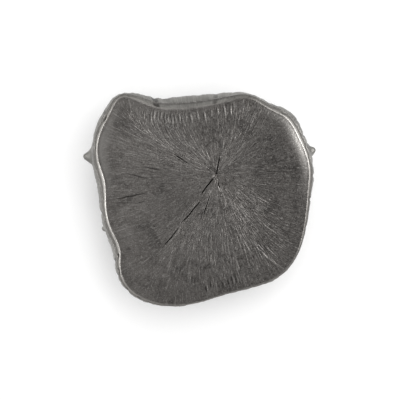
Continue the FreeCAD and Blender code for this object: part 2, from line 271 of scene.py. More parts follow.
# %% [markdown]
# Bosses, ears and lugs are cast into the two shells. Each is a closed tube or rod of its own
# in the same mesh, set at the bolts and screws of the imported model.


# %% Helpers for cast-in bosses
def solid_centres(node):
    """Middle of each separate solid in a node."""
    copy, centres, seen = merged_copy(node), [], set()
    for first in copy.verts:
        if first in seen:
            continue
        island, edge_of = [first], [first]
        seen.add(first)
        while edge_of:
            for edge in edge_of.pop().link_edges:
                for vert in edge.verts:
                    if vert not in seen:
                        seen.add(vert)
                        island.append(vert)
                        edge_of.append(vert)
        low = [min(v.co[axis] for v in island) for axis in (0, 1)]
        high = [max(v.co[axis] for v in island) for axis in (0, 1)]
        centres.append(((low[0] + high[0]) / 2, (low[1] + high[1]) / 2))
    copy.free()
    return centres


BOSS_SIDES = 32


def round_ring(x, y, z, radius):
    turns = np.arange(BOSS_SIDES) / BOSS_SIDES * TURN
    across_x, across_y = x + radius * np.cos(turns), y + radius * np.sin(turns)
    return np.column_stack([across_x, across_y, np.full(BOSS_SIDES, z)])


def tube(shape, x, y, low, high, radius, hole):
    """A tube with an open hole through it."""
    first = ring = first_ring(shape, round_ring(x, y, low, radius))
    for z, wide in ((high, radius), (high, hole), (low, hole)):
        ring = next_ring(shape, ring, round_ring(x, y, z, wide))
    bmesh.ops.bridge_loops(shape, edges=ring_edges(shape, ring) + ring_edges(shape, first))


def blind_boss(shape, x, y, mouth, end, radius, hole, hole_end):
    """A rod with a tapped hole that starts at its mouth and stops inside it."""
    ring = first_ring(shape, round_ring(x, y, end, radius))
    bmesh.ops.contextual_create(shape, geom=ring_edges(shape, ring))
    for z, wide in ((mouth, radius), (mouth, hole), (hole_end, hole)):
        ring = next_ring(shape, ring, round_ring(x, y, z, wide))
    bmesh.ops.contextual_create(shape, geom=ring_edges(shape, ring))


def bar(shape, start, end, width, low, high):
    """An upright bar between two places, such as a rib."""
    run = Vector((*end, 0)) - Vector((*start, 0))
    middle = Vector(((start[0] + end[0]) / 2, (start[1] + end[1]) / 2, (low + high) / 2))
    size = Matrix.Diagonal((run.length, width, high - low, 1))
    turn = Matrix.Rotation(math.atan2(run.y, run.x), 4, "Z")
    bmesh.ops.create_cube(shape, size=1, matrix=Matrix.Translation(middle) @ turn @ size)


BOLTS, SCREWS = solid_centres("top_bolts"), solid_centres("base_screws")
print(f"{len(BOLTS)} bolts, {len(SCREWS)} screws")

# %% [markdown]
# Under its rim the log has lost its bark, and its grain runs up and down in shallow furrows.
# The furrows are noise that is narrow across the grain and long along it. Both castings read
# the same noise, so a furrow carries on across the joint between them.

# %% Furrows of the log
BARK_SEGMENTS = 540
bark_angles, bark_girth = even_angles(trunk_tree, 300 * MM, BARK_SEGMENTS)
girth_mm = bark_girth / MM


def line_at(angle):
    """Millimetres round the trunk at a bearing."""
    return np.interp(angle, np.append(bark_angles, TURN), np.linspace(0, girth_mm, BARK_SEGMENTS + 1))


def grain_places(line_mm):
    """Grain line numbers bent into a circle, so that the last meets the first."""
    turn = line_mm / girth_mm * TURN
    return np.cos(turn) * girth_mm / TURN, np.sin(turn) * girth_mm / TURN


def grain_noise(x_mm, y_mm, z_mm, across_mm, along_mm, seed):
    """Smooth noise, -1 to 1, narrow across the grain and long along it."""
    drift = Vector((seed * 7.3, seed * 3.1, seed * 5.7))
    values = [noise.noise(Vector((x / across_mm, y / across_mm, z / along_mm)) + drift)
              for x, y, z in zip(x_mm.ravel(), y_mm.ravel(), z_mm.ravel())]
    return np.array(values).reshape(x_mm.shape)


def furrowed(line_mm, z_mm):
    """How far the skin stands out, in millimetres, and how deep in a furrow each place is."""
    x, y = grain_places(line_mm)
    sizes = ((26, 170, 1), (11, 90, 2), (5.5, 48, 3))     # across, along, seed
    broad, mid, fine = (grain_noise(x, y, z_mm, *size) for size in sizes)
    furrow = np.clip(-mid - 0.12, 0, 1)
    return 1.6 * broad + 0.9 * mid + 0.8 * fine - 3.4 * furrow - 0.6, furrow


# %% [markdown]
# ## The sawn face
# A log dries from its ends. The wood between the rays shrinks, so the rays stand up as fine
# ridges, and the deepest strain opens splits that run out from the pith. The foundry takes
# its mould from such a log. Every ridge and split follows a line from the pith to the skin,
# which bends to meet the skin squarely. The face is therefore a web of such lines, and each
# feature is laid along them.

# %% Size of the web
SPOKES = 1280
FACE_RINGS = 56
HALVE_AT = (0.5, 0.74, 0.88)     # shares of the way in at which every second line ends
PITH_MM = (33, 50)               # from the middle of the face
PITH = MIDDLE + np.array(PITH_MM) * MM

# %% [markdown]
# Between the joint and the face the skirt rises and rolls over a quarter circle. A sharp edge
# would chip and cut, so the finisher rounds it, and that is where hands polish it first. Its
# pale polish is made stronger at the left and the upper right, which paints highlights there.

# %% Rolled rim, from the joint up to the face
ROLL_HEIGHT = 7 * MM
angles, face_girth = even_angles(top_tree, TOP - ROLL_HEIGHT, SPOKES)
roll_turns = np.radians([90, 80, 70, 60, 50, 40, 31, 22, 13, 5])
roll_levels = [TOP - ROLL_HEIGHT * (1 - math.cos(turn)) for turn in roll_turns]
skirt_levels = [JOINT + rise * MM for rise in (0.02, 1.2, 2.6, 4.0, 5.5, 7.2)]
skirt_rings = [softened(cast_ring(top_tree, angles, level), 1.5) for level in skirt_levels + roll_levels]
rim = at_height(skirt_rings[-1], TOP)
skirt_z = np.array([skirt[:, 2] for skirt in skirt_rings]) / MM
skirt_out, skirt_furrow = furrowed(np.tile(line_at(angles), (len(skirt_rings), 1)), skirt_z)
on_side = np.clip((TOP / MM - 1.5 - skirt_z) / 6, 0, 1) * np.clip((skirt_z - JOINT / MM) / 2.5, 0.25, 1)
skirt_out, skirt_furrow = skirt_out * on_side * 0.8, skirt_furrow * on_side
print(f"face {face_girth:.3f} m round, a line each {face_girth / SPOKES / MM:.2f} mm")


# %% Lines from the skin to the pith
def web(rim, pith, shares, square=0.42, straight=0.3, blend=26):
    """Points on curves that leave the rim squarely and reach the pith head on."""
    line = softened(rim[:, :2], blend)
    along = np.roll(line, -1, axis=0) - np.roll(line, 1, axis=0)
    along /= np.hypot(*along.T)[:, None]
    inward = np.column_stack([-along[:, 1], along[:, 0]])
    start = rim[:, :2]
    reach = np.hypot(*(start - pith).T)[:, None]
    one, two = start + inward * reach * square, pith + (start - pith) * straight
    t = np.asarray(shares)[:, None, None]
    return ((1 - t) ** 3 * start + 3 * (1 - t) ** 2 * t * one
            + 3 * (1 - t) * t ** 2 * two + t ** 3 * pith)


shares = np.linspace(0, 1, FACE_RINGS + 1)
face = web(rim, PITH, shares)
across = np.hypot(*np.moveaxis(np.roll(face, -1, axis=1) - np.roll(face, 1, axis=1), 2, 0)) / 2
steps = np.hypot(*np.moveaxis(np.diff(face, axis=0), 2, 0))
from_rim = np.concatenate([np.zeros((1, SPOKES)), np.cumsum(steps, axis=0)])
fx, fy = (face[..., 0] - MIDDLE[0]) / MM, (face[..., 1] - MIDDLE[1]) / MM
print(f"web {face.shape[:2]}, rings {steps.min() / MM:.1f} to {steps.max() / MM:.1f} mm apart")

# %% [markdown]
# The ridges are drawn at random, with more where the log's rays show most: below the pith and
# at the upper left. The right-hand side was rubbed smoother. Each ridge is a soft hump one to
# two millimetres wide that fades out at both ends.

# %% Empty relief: heights, how much a place is ridge, how much it is split
rng = np.random.default_rng(41)
relief = np.zeros((FACE_RINGS + 1, SPOKES))
ridge = np.zeros_like(relief)
gap = np.zeros_like(relief)


def bump_at(x, y, reach):
    """1 at a place on the face, in millimetres from its middle, fading over a reach."""
    return np.exp(-((fx - x) ** 2 + (fy - y) ** 2) / reach ** 2)


# %% Ridges laid along the web
def lay_ridges(count, chance, length, width, height, lean=0.11):
    """Soft humps along the web's lines, more of them where the chance is high."""
    weight = (chance * across)[1:-2].ravel()
    picks = rng.choice(weight.size, size=count, p=weight / weight.sum())
    for pick in picks:
        k, i = pick // SPOKES + 1, pick % SPOKES
        run = rng.uniform(*length) * MM
        wide, tall = rng.uniform(*width) * MM, rng.uniform(*height) * MM
        slope = rng.normal(0, lean)
        offset = from_rim[:, i] - from_rim[k, i]
        rows = np.flatnonzero(np.abs(offset) < run / 2)
        if not len(rows):
            rows = np.array([k])
        widest = int(min(2.6 * wide / across[rows, i].min(), 150)) + 1
        spread = np.arange(-widest, widest + 1)
        columns = (i + spread) % SPOKES
        distance = spread[None, :] * across[rows, i][:, None] + slope * offset[rows][:, None]
        fade = np.clip(1 - (2 * offset[rows] / run) ** 2, 0, 1) ** 0.6
        hump = np.exp(-(distance / wide) ** 2) * fade[:, None]
        place = np.ix_(rows, columns)
        relief[place] = np.maximum(relief[place], tall * hump)
        ridge[place] = np.maximum(ridge[place], hump * tall / (height[1] * MM))


open_comb = 1 - 0.8 * bump_at(20, 122, 34)
everywhere = 0.4 + 1.3 * bump_at(10, -80, 90) + 1.0 * bump_at(-90, 110, 90) + 0.5 * bump_at(30, 100, 60)
quiet_right = 1 - 0.75 * np.clip((fx - 90) / 60, 0, 1)
open_pith = (1 - 0.75 * bump_at(*PITH_MM, 34)) * open_comb
lay_ridges(3000, everywhere * quiet_right * open_pith, (3, 15), (0.5, 0.75), (0.15, 0.55))
lay_ridges(260, everywhere * quiet_right * open_pith, (18, 45), (0.5, 0.8), (0.3, 0.7))
lay_ridges(900, everywhere * open_pith, (1, 4), (0.5, 0.9), (0.2, 0.7))
print(f"ridges cover {np.mean(ridge > 0.3):.0%} of the web's points")


# %% [markdown]
# The splits are narrow V-shaped gaps, widest near the middle of their length. The one that
# passes through the pith opened first, so it is the widest and deepest.

# %% Splits along the web
SPLITS = [      # start, end, width and depth in millimetres from the middle of the face
    ((40, 86), (33, 51), 2.6, 4.5),
    ((32, 48), (3, 12), 3.2, 4.5),
    ((36, 40), (41, 18), 2.0, 3.0),
    ((20, 8), (6, -34), 2.0, 3.0),
    ((3, 0), (-38, -44), 2.4, 3.0),
    ((-44, -56), (-80, -98), 2.0, 2.5),
    ((-104, 15), (-166, 3), 2.9, 2.8),
    ((-104, 42), (-146, 52), 2.3, 2.5),
    ((-80, 59), (-112, 66), 1.7, 1.6),
    ((-108, -1), (-125, -6), 1.6, 1.4),
    ((-20, 71), (-52, 92), 2.2, 2.5),
    ((-65, 130), (-70, 144), 1.7, 2.0),
    ((132, 56), (170, 58), 1.3, 1.2),
]


def web_place(x, y):
    """The web's ring and line nearest to a place on the face."""
    return np.unravel_index(np.argmin((fx - x) ** 2 + (fy - y) ** 2), fx.shape)


def along_web(start, end, wobble):
    """The rings between two places, how far along each is, and distances from that line."""
    (ka, ia), (kb, ib) = web_place(*start), web_place(*end)
    rows = np.arange(min(ka, kb), max(ka, kb) + 1)
    share = (rows - ka) / (kb - ka)
    if min(ka, kb) > FACE_RINGS - 6 or max(ka, kb) > FACE_RINGS - 4:
        ia = ib = ib if ka > kb else ia         # the lines crowd here, so it keeps to one of them
    turn = (ib - ia + SPOKES // 2) % SPOKES - SPOKES // 2
    centre = ia + turn * share
    aside = (np.arange(SPOKES)[None, :] - centre[:, None] + SPOKES / 2) % SPOKES - SPOKES / 2
    distance = aside * across[rows] / MM
    return rows, share, distance + wobble * np.sin(rows * 1.3 + start[0])[:, None]


def cut_split(start, end, width, depth):
    rows, share, distance = along_web(start, end, 0.35)
    half = width / 2 * np.clip(1 - np.abs(2 * share - 1) ** 2.5, 0.02, 1) ** 0.7
    inside = np.clip(1.25 - np.abs(distance) / half[:, None], 0, 1)
    relief[rows] = relief[rows] * (1 - inside) - depth * MM * inside
    gap[rows] = np.maximum(gap[rows], inside)
    ridge[rows] = ridge[rows] * (1 - inside)


def raise_ridge(start, end, width, height, shine=1.0):
    rows, share, distance = along_web(start, end, 0.5)
    hump = np.exp(-(distance / width) ** 2) * np.clip(1 - np.abs(2 * share - 1) ** 3, 0, 1)[:, None]
    relief[rows] = np.maximum(relief[rows], height * MM * hump)
    ridge[rows] = np.maximum(ridge[rows], shine * hump)


for one_split in SPLITS:
    cut_split(*one_split)
PITH_HOLE, PITH_DEPTH = 3.6, 5.0
hole = np.clip(1.3 - np.hypot(fx - PITH_MM[0], fy - PITH_MM[1]) / PITH_HOLE, 0, 1)
np.minimum(relief, -PITH_DEPTH * MM * hole, out=relief, where=hole > 0)
np.maximum(gap, hole, out=gap)

# %% [markdown]
# Where the saw came out of the log it tore the fibres. That left a comb of short bright ridges
# at the back edge, and short dark marks at the front edge.

# %% Helpers for marks beside the rim
EDGE_AWAY = 120      # millimetres from the middle that the back and front edges are at least


def beside_rim(x, back, near, far):
    """The web's line at x on the back or front edge, and its rings between two depths."""
    other_edge = fy[0] < EDGE_AWAY if back else fy[0] > -EDGE_AWAY
    line = int(np.argmin(np.abs(fx[0] - x) + 1000 * other_edge))
    return line, np.searchsorted(from_rim[:, line], [rng.uniform(*near) * MM, rng.uniform(*far) * MM])


def line_beside(line, aside):
    """The web's line a few millimetres along the rim from another."""
    return (line + int(aside * MM / across[2, line])) % SPOKES


def on_line(line, first, last):
    """The places on the face where a line crosses two rings."""
    return [(fx[k, line], fy[k, line]) for k in (first, last)]


# %% The comb at the back edge
for x in (*np.arange(-96, -28, 6.6), *np.arange(-20, 70, 13.4)):
    line, (near, far) = beside_rim(x + rng.uniform(-0.9, 0.9), True, (2, 5), (16, 30))
    raise_ridge(*on_line(line, near, far + 1), rng.uniform(0.8, 1.1), rng.uniform(0.6, 0.9),
                rng.uniform(1.5, 1.9))
    cut_split(*on_line(line_beside(line, 2.7), near, max(far - 1, near + 2)), 1.6, 0.5)

# %% Marks at the front edge and the long ridge at the front right
for x in np.arange(8, 84, 8.5):
    line, (near, far) = beside_rim(x + rng.uniform(-2, 2), False, (6, 12), (18, 28))
    cut_split(*on_line(line, near, far), rng.uniform(2.2, 3.2), rng.uniform(0.6, 1.2))
    raise_ridge(*on_line(line_beside(line, 3.5), near, far), 0.9, 0.5, rng.uniform(0.6, 1.1))
raise_ridge((98, -78), (176, -146), 1.9, 1.0, 0.7)
raise_ridge((106, -82), (128, -100), 1.0, 1.3, 1.2)

# %% [markdown]
# The face isn't flat between its ridges. It dips and rises by less than a millimetre, and at
# the upper right it was ground away towards the rim. The relief dies out at the rim, where
# the roll begins.

# %% Slow waves, the worn shoulder and the fade at the rim
waves = (0.35 * np.sin(fx / 31 + 1.3 * np.sin(fy / 47))
         + 0.3 * np.sin(fy / 26 + 1.7 * np.sin(fx / 39)))
bearing = np.degrees(np.arctan2(fy, fx))
facing = np.exp(-((bearing - 31) / 18) ** 2)
# The strip at the upper right is ground into a lower shoulder. It and a patch inside the rim at the upper
# left also lighten the face's colour: painted highlights where the soft boxes catch the face.
worn_and_highlit_strip = np.clip(1 - from_rim / (24 * MM), 0, 1) ** 2 * facing
painted_highlight_corner = np.clip(1 - from_rim / (26 * MM), 0, 1) ** 1.4
painted_highlight_corner = 0.9 * np.exp(-((bearing - 152) / 17) ** 2) * painted_highlight_corner
near_rim = np.clip(from_rim / (5 * MM), 0, 1)
SHOULDER_DROP = 2.6 * MM
relief = relief * near_rim + waves * MM * np.clip(from_rim / (25 * MM), 0, 1) - SHOULDER_DROP * worn_and_highlit_strip
print(f"relief {relief.min() / MM:.1f} to {relief.max() / MM:.1f} mm")

# %% [markdown]
# The top casting is pulled in one go: up the skirt, over the roll and in to the pith. Towards
# the pith the lines crowd, so every second one ends at three of the rings.

# %% Pull the top casting: skirt, roll, face
shape = bmesh.new()
ridge_layer = shape.verts.layers.float.new("ridge")
gap_layer = shape.verts.layers.float.new("gap")
# The wear values hold rub wear on the rim and painted highlight at the left, upper left and upper right.
wear_and_highlight_layer = shape.verts.layers.float.new("wear_and_highlight")
side_layer = shape.verts.layers.float.new("side")
furrow_layer = shape.verts.layers.float.new("furrow")
grain_layer = shape.verts.layers.float_vector.new("grain")
ring_angle = np.arange(SPOKES) / SPOKES * TURN
GRAIN_RADIUS = face_girth / TURN


def mark(verts, columns, k, distance, wear_and_highlight, side=None, furrow=None):
    """Writes a ring's values for the finish on its verts."""
    for vert, i in zip(verts, columns):
        if side is not None:
            vert[side_layer], vert[furrow_layer] = side[i], furrow[i]
        vert[ridge_layer], vert[gap_layer] = ridge[k, i], gap[k, i]
        vert[wear_and_highlight_layer] = wear_and_highlight[i]
        vert[grain_layer] = (GRAIN_RADIUS * math.cos(ring_angle[i]),
                             GRAIN_RADIUS * math.sin(ring_angle[i]), distance[i])


rim_drop = SHOULDER_DROP * facing[0]
roll_at = [0] * len(skirt_levels) + list(roll_turns) + [0]
# Painted highlight: the rim's pale polish is an even rub all round, made much stronger at the left and
# the upper right, where the soft boxes' highlights fall.
rub_and_highlight_spread = 0.22 + np.exp(-((np.abs(bearing[0]) - 180) / 42) ** 2) + 0.9 * facing[0]
columns = np.arange(SPOKES)
along = np.roll(rim, -2, axis=0) - np.roll(rim, 2, axis=0)
along /= np.hypot(*along[:, :2].T)[:, None]
out = np.column_stack([along[:, 1], -along[:, 0], np.zeros(SPOKES)])
ring = None
for level, places in enumerate(skirt_rings + [rim]):
    row = min(level, len(skirt_rings) - 1)
    share = np.clip((places[:, 2] - JOINT) / (6 * MM), 0, 1)
    moved = places - np.column_stack([np.zeros((SPOKES, 2)), rim_drop * share])
    moved = moved + out * skirt_out[row][:, None] * MM * (level < len(skirt_rings))
    ring = next_ring(shape, ring, moved) if ring else first_ring(shape, moved)
    # Rub wear on the roll, with painted highlight at the left and the upper right.
    polish_and_highlight = math.sin(2 * roll_at[level]) * rub_and_highlight_spread
    mark(ring, columns, 0, places[:, 2] - TOP, polish_and_highlight, on_side[row], skirt_furrow[row])
halvings = [round(share * FACE_RINGS) for share in HALVE_AT]
for k in range(1, FACE_RINGS):
    places = np.column_stack([face[k], TOP + relief[k]])
    ring = next_ring(shape, ring, places[columns])
    # Painted highlight near the rim at the upper right and the upper left.
    wear_and_highlight = worn_and_highlit_strip[k] + painted_highlight_corner[k]
    mark(ring, columns, k, from_rim[k], wear_and_highlight)
    if k in halvings:
        ring, columns = halve(shape, ring), columns[::2]
bmesh.ops.contextual_create(shape, geom=ring_edges(shape, ring))
print(f"face pulled, {len(shape.verts)} points")

# %% [markdown]
# A ring under the skirt drops into the trunk and keeps the two castings in line. The ribs under
# the ceiling run from a hub to the bolts and stiffen the thin top. Each is sunk a little into the
# ceiling, by its own amount, so that no two faces lie in one plane.

# %% Under the skirt, the spigot and the ceiling
WALL, SPIGOT_CLEARANCE = 6 * MM, 0.5 * MM
SPIGOT_FOOT, CEILING = 434 * MM, 453 * MM
outer = skirt_rings[0]
lip = at_height(moved_in(outer, WALL + SPIGOT_CLEARANCE), JOINT)
inner = at_height(moved_in(outer, 2 * WALL + SPIGOT_CLEARANCE), JOINT)
lowest = [v for v in shape.verts if v.is_boundary]
lowest.sort(key=lambda v: math.atan2(v.co.y - MIDDLE[1], v.co.x - MIDDLE[0]) % TURN)
start = int(np.argmin([(Vector(outer[0]) - v.co).length for v in lowest]))
ring = lowest[start:] + lowest[:start]
for places in (lip, at_height(lip, SPIGOT_FOOT), at_height(inner, SPIGOT_FOOT),
               at_height(inner, CEILING)):
    ring = next_ring(shape, ring, places)
bmesh.ops.contextual_create(shape, geom=ring_edges(shape, ring))

# %% Bosses for the bolts, ribs to them from a hub
BOSS_FOOT, RIB_FOOT, BOSS_RADIUS, BOLT_HOLE = 428.5 * MM, 440 * MM, 11 * MM, 4.05 * MM
for x, y in BOLTS:
    blind_boss(shape, x, y, BOSS_FOOT, CEILING + 0.5 * MM, BOSS_RADIUS, BOLT_HOLE, 446 * MM)
    bar(shape, tuple(MIDDLE), (x, y), 5 * MM, RIB_FOOT, CEILING + 0.4 * MM)
hub = first_ring(shape, round_ring(*MIDDLE, RIB_FOOT, 16 * MM))
bmesh.ops.contextual_create(shape, geom=ring_edges(shape, hub))
hub = next_ring(shape, hub, round_ring(*MIDDLE, CEILING + 0.3 * MM, 16 * MM))
bmesh.ops.contextual_create(shape, geom=ring_edges(shape, hub))
bmesh.ops.recalc_face_normals(shape, faces=shape.faces)


# %% Finish a mesh as a piece
def finish_piece(name, shape, smooth_angle=40):
    for face_ in shape.faces:
        face_.smooth = True
    limit = math.radians(smooth_angle)
    for edge in shape.edges:
        edge.smooth = edge.calc_face_angle(0) < limit
    mesh = bpy.data.meshes.new(name)
    shape.to_mesh(mesh)
    triangles = sum(len(polygon.vertices) - 2 for polygon in mesh.polygons)
    shape.free()
    print(f"{name}: {triangles} triangles")
    return new_object(name, mesh)


top_piece = finish_piece("sawn_top", shape, 60)
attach(top_piece, "table")
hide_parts("top_casting")

# %% [markdown]
# ## The trunk
# Under the face the log has lost its bark. Its grain runs up and down in shallow furrows and
# parts round each branch stub, as water parts round a stone. That flow is what makes metal
# look like wood here, so every point of the trunk gets a grain line number first, and the
# furrows are drawn along those lines.

# %% Rings of the trunk's skin
upper = np.linspace(TRUNK_TOP - 0.02 * MM, TRUNK_TOP - 32 * MM, 19)
lower = np.linspace(TRUNK_TOP - 32 * MM, TRUNK_FOOT + 0.02 * MM, 130)[1:]
bark_levels = np.concatenate([upper, lower])
bark = np.array([softened(cast_ring(trunk_tree, bark_angles, z), 0.6) for z in bark_levels])
print(f"trunk {bark_girth:.3f} m round, {len(bark_levels)} rings of {BARK_SEGMENTS}")

# %% Grain lines that part round the branch stubs
BRANCHES = [    # bearing in degrees, height and collar radius in millimetres
    (156.0, 388, 27), (24.5, 410, 15), (196.7, 364, 20), (67.8, 245, 20),
    (264.0, 300, 16), (315.0, 160, 24), (122.6, 130, 18), (346.9, 255, 13),
]
line_number = np.tile(np.arange(BARK_SEGMENTS) / BARK_SEGMENTS * bark_girth / MM, (len(bark_levels), 1))
depth_mm = np.tile((bark_levels / MM)[:, None], (1, BARK_SEGMENTS))
grain_line, eye = line_number.copy(), np.zeros_like(line_number)
for bearing_, height_, radius_ in BRANCHES:
    home = np.interp(math.radians(bearing_) % TURN, bark_angles, line_number[0])
    aside = (line_number - home + girth_mm / 2) % girth_mm - girth_mm / 2
    far = aside ** 2 + (depth_mm - height_) ** 2
    grain_line -= aside * radius_ ** 2 / np.maximum(far, radius_ ** 2)
    rings = np.sin(np.sqrt(far) / 1.5 + 0.4 * np.sin(aside / 4))
    eye += rings * np.exp(-((np.sqrt(far) - radius_ * 0.9) / (radius_ * 0.45)) ** 2)
grain_x, grain_y = grain_places(grain_line)
print(f"grain moved aside by up to {np.abs(grain_line - line_number).max():.0f} mm")

# %% Furrows along the grain, and the rings of each branch stub
bark_relief, furrow = furrowed(grain_line, depth_mm)
bark_relief = bark_relief + 0.45 * eye
end_fade = np.minimum(np.clip((TRUNK_TOP - bark_levels) / (2.5 * MM), 0.25, 1),
                      np.clip((bark_levels - TRUNK_FOOT) / (3 * MM), 0, 1))
bark_relief = bark_relief * end_fade[:, None] * MM
print(f"trunk relief {bark_relief.min() / MM:.1f} to {bark_relief.max() / MM:.1f} mm")

# %% Pull the trunk: skin upwards, over the top edge, down the inside
shape = bmesh.new()
furrow_layer = shape.verts.layers.float.new("furrow")
grain_layer = shape.verts.layers.float_vector.new("grain")


def mark_bark(verts, row):
    for i, vert in enumerate(verts):
        vert[furrow_layer] = furrow[row, i] * end_fade[row]
        vert[grain_layer] = (grain_x[row, i] * MM, grain_y[row, i] * MM, bark_levels[row])


ring = None
for row in reversed(range(len(bark_levels))):
    line = softened(bark[row][:, :2], 3)
    along = np.roll(line, -1, axis=0) - np.roll(line, 1, axis=0)
    along /= np.hypot(*along.T)[:, None]
    out = np.column_stack([along[:, 1], -along[:, 0], np.zeros(BARK_SEGMENTS)])
    places = bark[row] + out * bark_relief[row][:, None]
    ring = next_ring(shape, ring, places) if ring else first_ring(shape, places)
    foot_ring = ring if row == len(bark_levels) - 1 else foot_ring
    mark_bark(ring, row)
INSIDE_LEVELS = [TRUNK_TOP - 0.02 * MM, 430 * MM, 412 * MM, 300 * MM, 180 * MM, 56 * MM, 15 * MM,
                 TRUNK_FOOT + 0.02 * MM]
for z in INSIDE_LEVELS:
    ring = next_ring(shape, ring, softened(cast_ring(trunk_tree, bark_angles, z, outward=True), 1))
bmesh.ops.bridge_loops(shape, edges=ring_edges(shape, ring) + ring_edges(shape, foot_ring))

# %% [markdown]
# The trunk's ears take the bolts that hold the top, and its lugs take the screws of the base
# plate. The metal stands out from the wall there, because the wall is too thin for a thread.

# %% Ears for the top's bolts and lugs for the plate's screws
EAR_FOOT, EAR_TOP, EAR_REACH = 416 * MM, 428 * MM, 26 * MM
LUG_FOOT, LUG_TOP, LUG_HOLE_END = 21 * MM, 49 * MM, 41 * MM
for x, y in BOLTS:
    tube(shape, x, y, EAR_FOOT, EAR_TOP, 15 * MM, 4.5 * MM)
    away = (np.array((x, y)) - MIDDLE) / np.hypot(*(np.array((x, y)) - MIDDLE))
    bar(shape, tuple(np.array((x, y)) + away * 9 * MM), tuple(np.array((x, y)) + away * EAR_REACH),
        20 * MM, EAR_FOOT + 0.3 * MM, EAR_TOP - 0.3 * MM)
for x, y in SCREWS:
    blind_boss(shape, x, y, LUG_FOOT, LUG_TOP, 9 * MM, 3.05 * MM, LUG_HOLE_END)
bmesh.ops.recalc_face_normals(shape, faces=shape.faces)
trunk_piece = finish_piece("barked_trunk", shape, 55)
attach(trunk_piece, "table")
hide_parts("trunk_casting")

# %% [markdown]
# ## Finishes
# Materials are built from nodes. A short helper adds a node and fills its inputs, so that each
# finish below reads as a list of steps.


# %% Helpers for nodes
def add(tree, kind, **inputs):
    """Adds a node. An input given a socket is linked to it, and any other value is set."""
    node = tree.nodes.new(f"ShaderNode{kind}")
    for name, value in inputs.items():
        socket = node.inputs[name.replace("_", " ")]
        if isinstance(value, bpy.types.NodeSocket):
            tree.links.new(value, socket)
        else:
            socket.default_value = value
    return node


def sums(tree, operation, first, second):
    """First and second added, multiplied and so on."""
    node = tree.nodes.new("ShaderNodeMath")
    node.operation = operation
    for socket, value in zip(node.inputs, (first, second)):
        if isinstance(value, bpy.types.NodeSocket):
            tree.links.new(value, socket)
        else:
            socket.default_value = value
    return node.outputs["Value"]


def blended(tree, share, first, second):
    """One colour fading into another as a share goes from 0 to 1."""
    node = tree.nodes.new("ShaderNodeMix")
    node.data_type = "RGBA"
    for number, value in ((0, share), (6, first), (7, second)):
        if isinstance(value, bpy.types.NodeSocket):
            tree.links.new(value, node.inputs[number])
        else:
            node.inputs[number].default_value = value
    return node.outputs[2]


def ranged(tree, value, low, high, to_low=0.0, to_high=1.0):
    return add(tree, "MapRange", Value=value, From_Min=low, From_Max=high,
               To_Min=to_low, To_Max=to_high).outputs["Result"]


def new_group(name, inputs, outputs):
    """A node group with named inputs, given as name: default, and named outputs."""
    tree = bpy.data.node_groups.new(name, "ShaderNodeTree")
    for label, default in inputs.items():
        kind = "NodeSocketVector" if default is None else "NodeSocketFloat"
        socket = tree.interface.new_socket(label, in_out="INPUT", socket_type=kind)
        if default is not None:
            socket.default_value = default
    for label in outputs:
        tree.interface.new_socket(label, in_out="OUTPUT", socket_type="NodeSocketFloat")
    return tree, tree.nodes.new("NodeGroupInput").outputs, tree.nodes.new("NodeGroupOutput").inputs


def use_group(tree, group, **inputs):
    node = tree.nodes.new("ShaderNodeGroup")
    node.node_tree = group
    for name, value in inputs.items():
        socket = node.inputs[name.replace("_", " ")]
        if isinstance(value, bpy.types.NodeSocket):
            tree.links.new(value, socket)
        else:
            socket.default_value = value
    return node.outputs


def colour(red, green, blue):
    return (red, green, blue, 1)


# %% [markdown]
# Metal that has been handled goes blotchy. Two noises, one broad and one fine, make cloudy
# patches that every finish on this table shares, each in its own size and strength.

# %% Node group: cloudy patches
CLOUDS, given, result = new_group(
    "cloudy_patches", {"Vector": None, "Broad": 14.0, "Fine": 90.0}, ["Cloud"])
broad_noise = add(CLOUDS, "TexNoise", Vector=given["Vector"], Scale=given["Broad"], Detail=4.0,
                  Roughness=0.6).outputs["Fac"]
fine_noise = add(CLOUDS, "TexNoise", Vector=given["Vector"], Scale=given["Fine"], Detail=3.0,
                 Roughness=0.7).outputs["Fac"]
both = sums(CLOUDS, "ADD", sums(CLOUDS, "MULTIPLY", broad_noise, 0.62),
            sums(CLOUDS, "MULTIPLY", fine_noise, 0.38))
CLOUDS.links.new(ranged(CLOUDS, both, 0.33, 0.67), result["Cloud"])

# %% [markdown]
# Sand-cast metal keeps the texture of the sand: small pits and grains.

# %% Node group: casting skin
CASTING_SKIN, given, result = new_group(
    "casting_skin", {"Vector": None, "Scale": 500.0}, ["Height", "Pits"])
grains = add(CASTING_SKIN, "TexNoise", Vector=given["Vector"], Scale=given["Scale"], Detail=3.0,
             Roughness=0.65).outputs["Fac"]
cells = add(CASTING_SKIN, "TexVoronoi", Vector=given["Vector"],
            Scale=sums(CASTING_SKIN, "MULTIPLY", given["Scale"], 0.45))
pits = ranged(CASTING_SKIN, cells.outputs["Distance"], 0.0, 0.28, 1.0, 0.0)
pitted_skin = sums(CASTING_SKIN, "SUBTRACT", grains, sums(CASTING_SKIN, "MULTIPLY", pits, 0.6))
CASTING_SKIN.links.new(pitted_skin, result["Height"])
CASTING_SKIN.links.new(pits, result["Pits"])

# %% [markdown]
# Wood grain in the metal shows as fine lines that are long one way. Noise read at stretched
# grain positions gives them. The positions were written on each point of the two castings.

